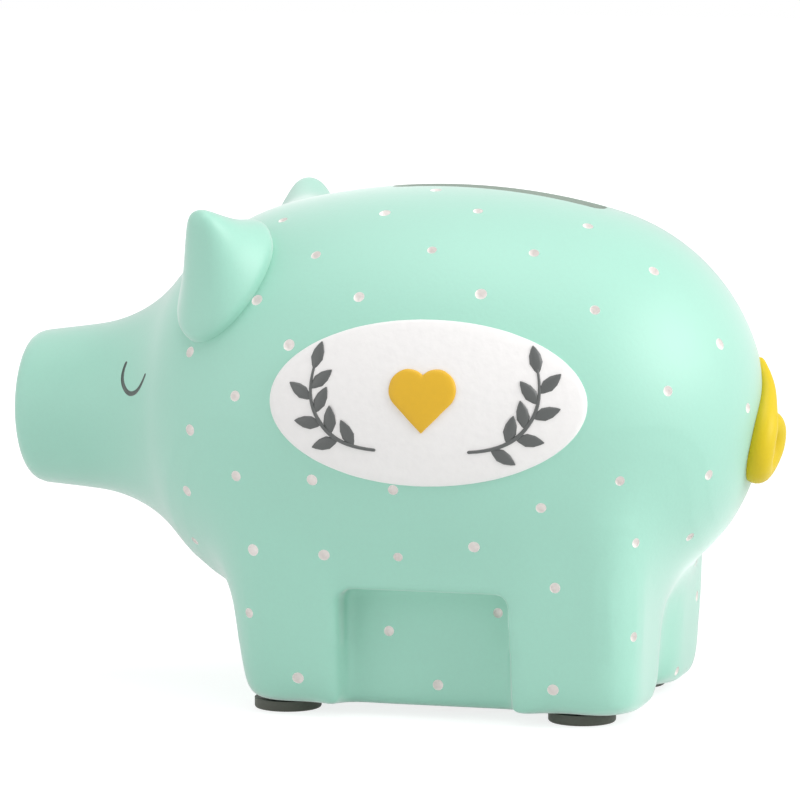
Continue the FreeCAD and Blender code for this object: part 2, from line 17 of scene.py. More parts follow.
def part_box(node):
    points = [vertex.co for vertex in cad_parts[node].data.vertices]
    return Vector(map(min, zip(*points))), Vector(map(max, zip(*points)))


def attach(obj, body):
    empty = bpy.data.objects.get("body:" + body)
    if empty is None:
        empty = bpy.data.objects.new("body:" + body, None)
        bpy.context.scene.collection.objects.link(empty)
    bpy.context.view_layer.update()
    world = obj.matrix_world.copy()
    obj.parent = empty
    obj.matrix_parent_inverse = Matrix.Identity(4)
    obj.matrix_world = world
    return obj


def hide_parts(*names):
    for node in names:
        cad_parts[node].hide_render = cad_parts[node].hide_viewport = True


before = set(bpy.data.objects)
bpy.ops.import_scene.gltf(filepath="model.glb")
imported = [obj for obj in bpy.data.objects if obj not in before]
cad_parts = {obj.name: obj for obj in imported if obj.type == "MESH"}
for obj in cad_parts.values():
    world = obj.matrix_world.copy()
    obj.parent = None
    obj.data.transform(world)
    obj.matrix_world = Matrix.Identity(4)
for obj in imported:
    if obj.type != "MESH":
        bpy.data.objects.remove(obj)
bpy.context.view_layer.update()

bl_info = {
    "name": "Pig Money Box",
    "version": (1, 0, 0),
    "blender": (4, 5, 0),
    "location": "3D View > Sidebar > Money Box",
    "description": "Dresses the frame of a pig money box in painted resin and sets its studio",
    "category": "Object",
}

MM = 0.001

# The photograph is a square; its camera stands a little behind the pig's flank and above it.
PHOTO_SIDE = 800
PHOTO_FOCUS = 5174
TARGET_PIXEL = (411.9, 440.4)
TARGET = Vector((1.6, 0, 50)) * MM
CAMERA_DISTANCE = 1012.5 * MM
CAMERA_TURN = math.radians(15.37)
CAMERA_RISE = math.radians(7.16)

# Rays that look for a place on the pig from one side start this far from its middle.
FAR_OFF = 200 * MM

# Middles of the dots that the photograph shows, in its pixels, from the head to the rump.
DOT_PIXELS = (
    (190, 352), (190, 430), (187, 491), (195, 541), (257, 300), (289, 345), (235, 396), (236, 476),
    (283, 220), (316, 255), (385, 213), (436, 190), (359, 297), (432, 250), (478, 211), (481, 294),
    (534, 253), (588, 226), (595, 310), (654, 271), (720, 344), (668, 391), (748, 408), (709, 475),
    (620, 481), (541, 508), (474, 547), (393, 490), (312, 480), (253, 550), (324, 555), (398, 557),
    (555, 588), (636, 543), (690, 537), (249, 613), (298, 678), (389, 631), (438, 685), (498, 613),
    (553, 690), (634, 637), (677, 671), (697, 596),
)
# The closed eye's line, in the same pixels, from its front end round the bottom to its rear end.
EYE_PIXELS = ((126, 363), (121, 376), (124, 391), (132, 396), (140, 389), (145, 375))
# Dots where the photograph can't see: along and up on the far flank, and across and up on the rump
# and the chest, in millimetres.
FAR_FLANK_DOTS = ((-8, 70), (8, 66), (25, 71), (38, 62), (-2, 53), (15, 50), (31, 47))
RUMP_DOTS = ((26, 80), (32, 58), (14, 26))
CHEST_DOTS = ((-15, 31), (0, 36), (14, 30))
# Dots on the near side are mirrored to the far side from this far off the middle.
MIRROR_FROM = 4 * MM
# Closer than this to another dot, an unseen one is left out.
DOT_GAP = 7.5 * MM


def linear(code):
    """Linear red, green and blue of an sRGB hex colour."""
    parts = (int(code[i:i + 2], 16) / 255 for i in (1, 3, 5))
    return tuple(p / 12.92 if p <= 0.04045 else ((p + 0.055) / 1.055) ** 2.4 for p in parts)


def length(name, description, millimetres):
    """A size of the money box, shown in the panel as a length."""
    return FloatProperty(
        name=name, description=description, default=millimetres * MM, subtype="DISTANCE",
    )


def colour(name, description, code):
    """A paint or material colour of the money box."""
    return FloatVectorProperty(
        name=name, description=description, default=linear(code), subtype="COLOR", min=0, max=1,
    )


def smoothing(name, description, rounds):
    """A number of smoothing rounds of the casting's skin."""
    return IntProperty(name=name, description=description, default=rounds, min=0)


def light_power(name, description, watts):
    """The power of one of the studio's lights."""
    return FloatProperty(name=name, description=description, default=watts, unit="POWER")


class CastingProperties(bpy.types.PropertyGroup):
    """Sizes and paints of the resin casting with its ears, dots and eyes."""

    skin_grid: length("Skin Grid", "Mesh spacing of the painted skin", 0.9)
    leg_blend: length("Leg Blend", "How far round their tops the legs flow into the body", 11)
    corner_blend: length("Corner Blend", "How far the outer corners of the legs are rounded", 10)
    seam_blend: length("Seam Blend", "How far round the other seams the skin is softened", 4)
    end_blend: length("End Blend", "How far the legs flow into the chest and the rump", 14)
    skin_rounds: smoothing("Skin Rounds", "Smoothing rounds all over the casting", 4)
    leg_rounds: smoothing("Leg Rounds", "Smoothing rounds at the tops of the legs", 90)
    end_rounds: smoothing("End Rounds", "Smoothing rounds at the chest and rump", 150)
    seam_rounds: smoothing("Seam Rounds", "Smoothing rounds at the other seams", 8)
    foot_rounds: smoothing("Foot Rounds", "Smoothing rounds at the legs' lower ends", 14)
    slot_slope: length("Slot Slope", "Sloping lip of the coin slot", 0.8)
    rim_slope: length("Rim Slope", "Sloping rims of the nostrils and the stopper's hole", 0.35)
    dot_width: length("Dot Width", "Width of a pressed dot at the surface", 2.15)
    dot_depth: length("Dot Depth", "Depth of a pressed dot", 1.15)
    eye_width: length("Eye Line", "Width of the closed eye's line", 0.95)
    mint: colour("Mint", "Mint paint of the body", "#94CEBA")
    dot_white: colour("Dot White", "White paint in the dots", "#F4EFEC")
    eye_grey: colour("Eye Grey", "Paint of the closed eyes", "#4F5B55")
    # The grey-green of the unpainted resin inside is darkened as painted shade for the walls of the
    # coin slot.
    bare_resin_painted_shade: colour("Bare Resin", "Unpainted resin of the chamber and the slot", "#8C9B8F")


class PlaqueProperties(bpy.types.PropertyGroup):
    """Sizes and paints of the oval plaque and what is on it."""

    leaf_length: length("Leaf Length", "Length of a leaf on the sprigs", 5.4)
    leaf_width: length("Leaf Width", "Width of a leaf on the sprigs", 2.5)
    leaf_proud: length("Leaf Height", "How far the sprigs stand out of the plaque", 0.35)
    white: colour("Plaque White", "White paint of the plaque", "#EEECEB")
    mustard: colour("Mustard", "Mustard paint of the heart", "#DDAE1C")
    sprig_grey: colour("Sprig Grey", "Dark grey paint of the sprigs", "#4A4D4C")


class TailProperties(bpy.types.PropertyGroup):
    """Sizes and paint of the curled tail."""

    loop_radius: length("Loop Thickness", "Half the tail's thickness round its loop", 3)
    strand_radius: length("Strand Thickness", "Half the tail's thickness along its strand", 2.5)
    tip_radius: length("Tip Thickness", "Half the tail's thickness at its tip", 1.2)
    yellow: colour("Yellow", "Yellow paint of the tail", "#D6BB0E")


class FittingsProperties(bpy.types.PropertyGroup):
    """Colours of the rubber fittings under the money box."""

    pad_grey: colour("Pad Grey", "Rubber of the foot pads", "#505249")
    stopper_grey: colour("Stopper Grey", "Rubber of the stopper", "#C9C8C2")


class StudioProperties(bpy.types.PropertyGroup):
    """Light and floor of the studio."""

    key_power: light_power("Key Light", "Power of the light at the side", 11)
    top_power: light_power("Top Light", "Power of the light overhead", 5.5)
    fill_power: light_power("Fill Light", "Power of the fill light", 2.5)
    ambient: FloatProperty(
        name="Ambient", description="Strength of the light from all round", default=0.6, min=0,
    )
    floor_paper: colour("Floor Paper", "Paper of the floor, as it lights the object", "#E6E6E6")


# A Mix node's colour sockets share their names with its others, so they are called by number.
MIX_FIRST, MIX_SECOND, MIX_RESULT = 6, 7, 2
# Width of the slow clouds in the paint, and of the grain and the dust on the rubber.
CLOUD_WIDTH = 22 * MM
RUBBER_GRAIN = 0.5 * MM
RUBBER_DUST = 6 * MM


def add_node(tree, kind, inputs=None, **settings):
    """A new node with its settings, and each input linked to a socket or set to a value."""
    added = tree.nodes.new(kind)
    for name, value in settings.items():
        setattr(added, name, value)
    for name, value in (inputs or {}).items():
        if isinstance(value, bpy.types.NodeSocket):
            tree.links.new(value, added.inputs[name])
        else:
            added.inputs[name].default_value = value
    return added


def new_material(name):
    """An empty node material with its output, and the Object coordinates that its patterns read."""
    material = bpy.data.materials.new(name)
    material.use_nodes = True
    tree = material.node_tree
    tree.nodes.clear()
    output = add_node(tree, "ShaderNodeOutputMaterial")
    place = add_node(tree, "ShaderNodeTexCoord").outputs["Object"]
    return material, tree, output, place


def painted(name, paint, roughness, mottle, grain_mm, grain_depth_mm, haze=0.5, shine=0.6):
    """Hand-sprayed matt paint on cast resin: slightly cloudy in colour, with a fine eggshell grain.

    A slow cloud of colour as wide as a thumb comes from the paint's uneven thickness; the grain is
    the dried spray, drawn coarse enough to show; the gloss wanders with it; the haze is the powdery
    bloom of matt paint at a slant; the shine is how much white light the paint throws back.
    """
    material, tree, output, place = new_material(name)
    cloud = add_node(tree, "ShaderNodeTexNoise", {
        "Vector": place, "Scale": 1 / CLOUD_WIDTH, "Detail": 3.0,
    })
    grain = add_node(tree, "ShaderNodeTexNoise", {
        "Vector": place, "Scale": 1 / (grain_mm * MM), "Detail": 2.0,
    })
    tone = add_node(tree, "ShaderNodeMix", {
        "Factor": cloud.outputs["Fac"],
        MIX_FIRST: [c * (1 - mottle) for c in paint] + [1],
        MIX_SECOND: [min(1, c * (1 + mottle)) for c in paint] + [1],
    }, data_type="RGBA")
    speck = add_node(tree, "ShaderNodeMapRange", {
        "Value": grain.outputs["Fac"], "To Min": 0.97, "To Max": 1.03,
    })
    tint = add_node(tree, "ShaderNodeVectorMath", {
        0: tone.outputs[MIX_RESULT], "Scale": speck.outputs["Result"],
    }, operation="SCALE")
    gloss = add_node(tree, "ShaderNodeMapRange", {
        "Value": grain.outputs["Fac"], "To Min": roughness - 0.06, "To Max": roughness + 0.06,
    })
    bump = add_node(tree, "ShaderNodeBump", {
        "Height": grain.outputs["Fac"], "Strength": 0.6, "Distance": grain_depth_mm * MM,
    })
    shader = add_node(tree, "ShaderNodeBsdfPrincipled", {
        "Base Color": tint.outputs["Vector"], "Roughness": gloss.outputs["Result"],
        "Normal": bump.outputs["Normal"], "IOR": 1.6, "Specular IOR Level": shine,
        "Sheen Weight": haze, "Sheen Roughness": 0.4,
    })
    tree.links.new(shader.outputs["BSDF"], output.inputs["Surface"])
    return material


def moulded_rubber(name, tint, roughness):
    """Moulded rubber: a dull skin with fine spark-eroded grain and a little dust in its colour."""
    material, tree, output, place = new_material(name)
    grain = add_node(tree, "ShaderNodeTexNoise", {
        "Vector": place, "Scale": 1 / RUBBER_GRAIN, "Detail": 3.0,
    })
    dust = add_node(tree, "ShaderNodeTexNoise", {
        "Vector": place, "Scale": 1 / RUBBER_DUST, "Detail": 4.0,
    })
    tone = add_node(tree, "ShaderNodeMix", {
        "Factor": dust.outputs["Fac"],
        MIX_FIRST: [c * 0.8 for c in tint] + [1],
        MIX_SECOND: [min(1, c * 1.25) for c in tint] + [1],
    }, data_type="RGBA")
    gloss = add_node(tree, "ShaderNodeMapRange", {
        "Value": dust.outputs["Fac"], "To Min": roughness - 0.08, "To Max": roughness + 0.08,
    })
    bump = add_node(tree, "ShaderNodeBump", {
        "Height": grain.outputs["Fac"], "Strength": 0.7, "Distance": 0.08 * MM,
    })
    shader = add_node(tree, "ShaderNodeBsdfPrincipled", {
        "Base Color": tone.outputs[MIX_RESULT], "Roughness": gloss.outputs["Result"],
        "Normal": bump.outputs["Normal"], "IOR": 1.52,
    })
    tree.links.new(shader.outputs["BSDF"], output.inputs["Surface"])
    return material


# Corners of a CAD node's triangles that lie closer than this are one corner.
MERGE_GAP = 0.001 * MM
# The domed end of a tube: how far out each ring lies and how wide it is, as shares of the radius.
DOME_RINGS = ((0.5, 0.87), (0.87, 0.5), (0.98, 0.2))


def merged_copy(node):
    """A bmesh of a CAD node's triangles with their shared corners joined and no stored shading."""
    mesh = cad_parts[node].data.copy()
    stored = mesh.attributes.get("custom_normal")
    if stored:
        mesh.attributes.remove(stored)
    shape = bmesh.new()
    shape.from_mesh(mesh)
    bpy.data.meshes.remove(mesh)
    bmesh.ops.remove_doubles(shape, verts=shape.verts, dist=MERGE_GAP)
    return shape


def new_piece(name, shape, materials):
    """An object at the origin that holds the bmesh, which is freed."""
    mesh = bpy.data.meshes.new(name)
    shape.to_mesh(mesh)
    shape.free()
    for material in materials:
        mesh.materials.append(material)
    piece = bpy.data.objects.new(name, mesh)
    bpy.context.scene.collection.objects.link(piece)
    return piece


def apply_modifiers(piece):
    """Bakes an object's modifiers into its own mesh."""
    evaluated = piece.evaluated_get(bpy.context.evaluated_depsgraph_get())
    mesh = bpy.data.meshes.new_from_object(evaluated)
    before = piece.data
    piece.modifiers.clear()
    piece.data = mesh
    bpy.data.meshes.remove(before)
    mesh.name = piece.name


def take_in(shape, other):
    """Adds a second bmesh, which is freed, to the first."""
    carrier = bpy.data.meshes.new("carrier")
    other.to_mesh(carrier)
    other.free()
    shape.from_mesh(carrier)
    bpy.data.meshes.remove(carrier)


def shade(piece, sharp_degrees):
    """Smooth shading that keeps edges sharper than the angle."""
    piece.data.shade_smooth()
    piece.data.set_sharp_from_angle(angle=math.radians(sharp_degrees))


def extruded(shape, ring):
    """Extrudes a closed ring of open edges in place: the new ring and its corners."""
    grown = bmesh.ops.extrude_edge_only(shape, edges=ring)["geom"]
    edges = [item for item in grown if isinstance(item, bmesh.types.BMEdge) and item.is_boundary]
    return edges, [item for item in grown if isinstance(item, bmesh.types.BMVert)]


def drawn_through(shape, rings, segments, material_index=0):
    """Draws a closed form through rings, each a matrix that carries a unit circle to its place."""
    drawn = bmesh.ops.create_circle(
        shape, cap_ends=True, radius=1, segments=segments, matrix=rings[0],
    )["verts"]
    ring = list({edge for corner in drawn for edge in corner.link_edges})
    for before, after in zip(rings, rings[1:]):
        ring, corners = extruded(shape, ring)
        bmesh.ops.transform(shape, verts=corners, matrix=after @ before.inverted())
        drawn += corners
    bmesh.ops.edgeloop_fill(shape, edges=ring)
    faces = list({face for corner in drawn for face in corner.link_faces})
    bmesh.ops.recalc_face_normals(shape, faces=faces)
    for face in faces:
        face.material_index = material_index


def smooth_path(points, resolution):
    """Points along the smooth line that a few control points draw."""
    curve = bpy.data.curves.new("path", "CURVE")
    curve.dimensions = "3D"
    spline = curve.splines.new("NURBS")
    spline.points.add(len(points) - 1)
    for corner, point in zip(spline.points, points):
        corner.co = (*point, 1)
    spline.order_u = 4
    spline.use_endpoint_u = True
    spline.resolution_u = resolution
    holder = bpy.data.objects.new("path", curve)
    mesh = bpy.data.meshes.new_from_object(holder)
    line = [corner.co.copy() for corner in mesh.vertices]
    bpy.data.meshes.remove(mesh)
    bpy.data.objects.remove(holder)
    bpy.data.curves.remove(curve)
    return line


def tube_rings(line, radii):
    """Round rings across a line, with domed ends, for a tube of these radii spread along it."""
    ways = [(after - before).normalized() for before, after in zip(line, line[1:])]
    ways = [ways[0]] + [(one + two).normalized() for one, two in zip(ways, ways[1:])] + [ways[-1]]
    turn = ways[0].to_track_quat("Z", "Y")
    stations = []
    for i, (place, way) in enumerate(zip(line, ways)):
        turn = (turn @ Vector((0, 0, 1))).rotation_difference(way) @ turn
        along = i / (len(line) - 1) * (len(radii) - 1)
        first = min(int(along), len(radii) - 2)
        radius = radii[first] + (radii[first + 1] - radii[first]) * (along - first)
        stations.append((place, turn.copy(), way, radius))
    domed = []
    for end, sign in ((0, -1), (-1, 1)):
        place, turn, way, radius = stations[end]
        domed.append([
            (place + way * sign * radius * out, turn, way, radius * wide)
            for out, wide in DOME_RINGS
        ])
    stations = domed[0][::-1] + stations + domed[1]
    return [
        Matrix.LocRotScale(place, turn, Vector((radius, radius, radius)))
        for place, turn, _, radius in stations
    ]


def camera_axes():
    """Right, up and back of the photograph's camera, as unit vectors of the frame."""
    right = Vector((math.cos(CAMERA_TURN), math.sin(CAMERA_TURN), 0))
    back = Vector((math.sin(CAMERA_TURN) * math.cos(CAMERA_RISE),
                   -math.cos(CAMERA_TURN) * math.cos(CAMERA_RISE), math.sin(CAMERA_RISE)))
    return right, back.cross(right), back


def photo_spot(surface, pixel):
    """Where the line of sight through a photograph's pixel meets the surface: place and normal."""
    right, up, back = camera_axes()
    across = (pixel[0] - TARGET_PIXEL[0]) / PHOTO_FOCUS
    down = (pixel[1] - TARGET_PIXEL[1]) / PHOTO_FOCUS
    place, normal, _, _ = surface.ray_cast(
        TARGET + CAMERA_DISTANCE * back, right * across - up * down - back,
    )
    if place is None:
        raise RuntimeError(f"the line of sight through pixel {pixel} misses the casting")
    return place, normal


# ---- casting: body and legs in one skin, with its hollow, dots and eyes, and the ears on it ----

# Places of the paints in the casting's list of materials; the second is bare resin darkened as
# painted shade for the coin slot.
MINT, BARE_AND_SHADE, WHITE, GREY = range(4)
# Outward rims sharper than the first end the skin, and inward seams sharper than the second are
# softened.
RIM_ANGLE = math.radians(50)
SEAM_ANGLE = math.radians(15)
# Seams further out or higher than these are the tops of the legs.
LEG_SEAM_OUT, LEG_SEAM_UP = 30.5 * MM, 26 * MM
# Seams at least so far along from the middle of the base, and lower than a height, are those of the
# chest and the rump.
BASE_MIDDLE, END_SEAM_FROM, END_SEAM_TOP = 15 * MM, 35 * MM, 60 * MM
# The panel sunk into each side between the legs: from and to along the pig, its top, and a plane
# behind it.
PANEL_START, PANEL_END, PANEL_TOP, PANEL_BACK = -3.8 * MM, 29.6 * MM, 25.4 * MM, 26.5 * MM
# The panels' rims are kept crisp this far round them, and faces within a margin belong to them.
PANEL_KEPT, PANEL_MARGIN = 2.4 * MM, 1 * MM
# Outer corners of the legs, along and across, and the heights at which they are rounded, in
# millimetres.
LEG_CORNERS = ((-25.5, 33.5), (-25.5, -33.5), (53.5, 33), (53.5, -33))
LEG_CORNER_HEIGHTS = range(5, 30)
# Height up to which the lower ends of the legs are evened out.
FOOT_TOP = 14 * MM
# Openings higher than the first are the coin slot, and lower than the second the stopper's hole.
SLOT_FROM, HOLE_UP_TO = 80 * MM, 10 * MM
# How far the hollow's cutter reaches out past the skin.
CUT_PAST = 3 * MM
# Folds that the cut leaves are taken out where they are thinner than this.
SLIVER = 0.003 * MM
# How the hand that pressed the dots varied: its seed, and the least and most of width and depth.
DOT_SEED, DOT_WIDTHS, DOT_DEPTHS = 5, (0.88, 1.1), (0.85, 1.1)
# Half the eye line's width along its length, as shares of the usual half, and its lift off the
# skin, as a share of the width.
EYE_RADII, EYE_LIFT = (0.8, 1, 1.1, 1, 0.75), 0.1
# The near ear: the middle of its base on the head, its tip, and the way up along its base.
EAR_BASE = Vector((-28, -26.5, 83)) * MM
EAR_TIP = Vector((-30.8, -37.5, 97.2)) * MM
EAR_UPHILL = Vector((0.29, 0.6, 0.745))
# Its rings from root to tip: the share of the way to the tip, then half the ring's length, half its
# width and how far it is set back, in millimetres.
EAR_RINGS = (
    (-0.35, 11.6, 8, 0), (-0.1, 13.2, 9.2, 0), (0.04, 13.9, 9.9, -0.2), (0.13, 12.9, 9.4, 0),
    (0.34, 9, 7.2, 0.1), (0.57, 6, 5.8, 0.3), (0.77, 3.6, 4.3, 0.4), (0.9, 2.1, 2.9, 0.3),
    (0.965, 1, 1.4, 0),
)
# The far ear is set a little higher.
FAR_EAR_SHIFT = Vector((-0.1, 0, 1)) * MM
EAR_SUBDIVISION = 2


def on_panel(spot, margin):
    """Whether a place is in one of the sunk panels, or within a margin round it."""
    along = PANEL_START - margin < spot.x < PANEL_END + margin
    return along and abs(spot.y) > PANEL_BACK and spot.z < PANEL_TOP + margin


def outer_skin(shape):
    """The faces reached from the flank and the sunk panels without passing a sharp outward rim."""
    middles = {face: face.calc_center_median() for face in shape.faces}
    skin = {max(middles, key=lambda face: abs(middles[face].y))}
    skin |= {face for face, spot in middles.items() if on_panel(spot, PANEL_MARGIN)}
    reached = list(skin)
    while reached:
        for edge in reached.pop().edges:
            if edge.calc_face_angle_signed() > RIM_ANGLE:
                continue
            for face in edge.link_faces:
                if face not in skin:
                    skin.add(face)
                    reached.append(face)
    return skin


def place_tree(places):
    """A search tree that tells how far the nearest of the places is."""
    tree = KDTree(len(places))
    for i, place in enumerate(places):
        tree.insert(place, i)
    tree.balance()
    return tree


def at_leg_top(spot):
    """Whether a place on a seam is at the top of a leg."""
    return abs(spot.y) > LEG_SEAM_OUT or spot.z > LEG_SEAM_UP


def at_end(spot):
    """Whether a place on a seam is where the legs meet the chest or the rump."""
    return abs(spot.x - BASE_MIDDLE) > END_SEAM_FROM and spot.z < END_SEAM_TOP


def seam_tree(shape, skin, wanted=None):
    """A search tree of places a millimetre apart along the skin's inward seams, or those wanted."""
    places = []
    for edge in shape.edges:
        if edge.calc_face_angle_signed() > -SEAM_ANGLE or not skin.issuperset(edge.link_faces):
            continue
        start, end = (corner.co for corner in edge.verts)
        steps = math.ceil(edge.calc_length() / MM)
        places += [start.lerp(end, i / steps) for i in range(steps + 1)]
    return place_tree([place for place in places if wanted is None or wanted(place)])


def smooth(shape, corners, rounds):
    """Evens out corners of a bmesh, round after round."""
    for _ in range(rounds):
        bmesh.ops.smooth_vert(
            shape, verts=corners, factor=0.5, use_axis_x=True, use_axis_y=True, use_axis_z=True,
        )


def soften(shape, tree, reach, rounds):
    """Smooths the skin within reach of the places, three times as much close to them."""
    loose = [corner for corner in shape.verts if not on_panel(corner.co, PANEL_KEPT)]
    gaps = [(tree.find(corner.co)[2], corner) for corner in loose]
    for share in (1, 2 / 3, 1 / 3):
        smooth(shape, [corner for gap, corner in gaps if gap < reach * share], rounds // 3)


def open_loops(shape):
    """The closed loops of open edges of a bmesh, as lists of edges."""
    waiting = {edge for edge in shape.edges if edge.is_boundary}
    loops = []
    while waiting:
        loop = [waiting.pop()]
        for edge in loop:
            joined = {other for corner in edge.verts for other in corner.link_edges} & waiting
            waiting -= joined
            loop += joined
        loops.append(loop)
    return loops


def hollow_cutter(shape, slot_slope, rim_slope):
    """Turns the casting's inner faces into a closed solid, with flared rims that pass the skin."""
    bmesh.ops.reverse_faces(shape, faces=shape.faces)
    for loop in open_loops(shape):
        corners = list({corner for edge in loop for corner in edge.verts})
        low = Vector([min(corner.co[i] for corner in corners) for i in range(3)])
        high = Vector([max(corner.co[i] for corner in corners) for i in range(3)])
        middle = (low + high) / 2
        slope = rim_slope
        if middle.z > SLOT_FROM:
            outward = Vector((0, 0, 1))
            slope = slot_slope
        elif middle.z < HOLE_UP_TO:
            outward = Vector((0, 0, -1))
        else:
            outward = Vector((-1, 0, 0))
        flare = [1 if outward[i] else 1 + 2 * slope / (high[i] - low[i]) for i in range(3)]
        bmesh.ops.translate(shape, verts=corners, vec=-outward * slope)
        for rise, widen in ((slope, True), (CUT_PAST, False)):
            loop, corners = extruded(shape, loop)
            bmesh.ops.translate(shape, verts=corners, vec=outward * rise)
            if widen:
                bmesh.ops.scale(shape, verts=corners, vec=flare, space=Matrix.Translation(-middle))
        bmesh.ops.holes_fill(shape, edges=loop, sides=0)
    bmesh.ops.recalc_face_normals(shape, faces=shape.faces)


def dot_spots(surface):
    """Place and normal of every dot: the photograph's, their mirror images, and the unseen ones."""
    spots = [photo_spot(surface, pixel) for pixel in DOT_PIXELS]
    unseen = [
        (Vector((place.x, -place.y, place.z)), Vector((normal.x, -normal.y, normal.z)))
        for place, normal in spots if place.y < -MIRROR_FROM
    ]
    starts = [(Vector((x * MM, FAR_OFF, z * MM)), Vector((0, -1, 0))) for x, z in FAR_FLANK_DOTS]
    starts += [(Vector((FAR_OFF, y * MM, z * MM)), Vector((-1, 0, 0))) for y, z in RUMP_DOTS]
    starts += [(Vector((-FAR_OFF, y * MM, z * MM)), Vector((1, 0, 0))) for y, z in CHEST_DOTS]
    for start, way in starts:
        place, normal, _, _ = surface.ray_cast(start, way)
        if place is None:
            raise RuntimeError("a dot misses the casting")
        unseen.append((place, normal))
    for place, normal in unseen:
        if min((place - other).length for other, _ in spots) > DOT_GAP:
            spots.append((place, normal))
    return spots


def pressed_dots(surface, width, depth, material_index):
    """One small ball for every dot, each pressed a little differently by hand."""
    hand = random.Random(DOT_SEED)
    balls = bmesh.new()
    for place, normal in dot_spots(surface):
        half = width / 2 * hand.uniform(*DOT_WIDTHS)
        deep = depth * hand.uniform(*DOT_DEPTHS)
        radius = (half ** 2 + deep ** 2) / (2 * deep)
        turn = normal.to_track_quat("Z", "Y").to_matrix().to_4x4()
        centre = Matrix.Translation(place + normal * (radius - deep))
        bmesh.ops.create_uvsphere(
            balls, u_segments=14, v_segments=9, radius=radius, matrix=centre @ turn,
        )
    for face in balls.faces:
        face.material_index = material_index
    return balls


def eye_lines(surface, width, material_index):
    """The closed eyes' lines: round-ended tubes that run half sunk along the head."""
    spots = [photo_spot(surface, pixel) for pixel in EYE_PIXELS]
    line = smooth_path([place + normal * width * EYE_LIFT for place, normal in spots], resolution=4)
    radii = [width / 2 * share for share in EYE_RADII]
    eyes = bmesh.new()
    for hand in (1, -1):
        side = [Vector((place.x, hand * place.y, place.z)) for place in line]
        drawn_through(eyes, tube_rings(side, radii), segments=10, material_index=material_index)
    return eyes


def ear_petal(outward, hand, shift):
    """One ear as a bmesh: a petal drawn from inside the head through flat rings to a blunt tip."""
    uphill = (EAR_UPHILL - outward * EAR_UPHILL.dot(outward)).normalized()
    ahead = outward.cross(uphill)
    rings = []
    for share, half_length, half_width, set_back in EAR_RINGS:
        centre = EAR_BASE.lerp(EAR_TIP, share) - ahead * set_back * MM
        axes = Matrix((uphill * half_length * MM, ahead * half_width * MM, outward * MM))
        rings.append(Matrix.Translation(centre) @ axes.transposed().to_4x4())
    ear = bmesh.new()
    drawn_through(ear, rings, segments=32)
    bmesh.ops.scale(ear, verts=ear.verts, vec=(1, hand, 1))
    bmesh.ops.translate(ear, verts=ear.verts, vec=shift)
    bmesh.ops.recalc_face_normals(ear, faces=ear.faces)
    return ear


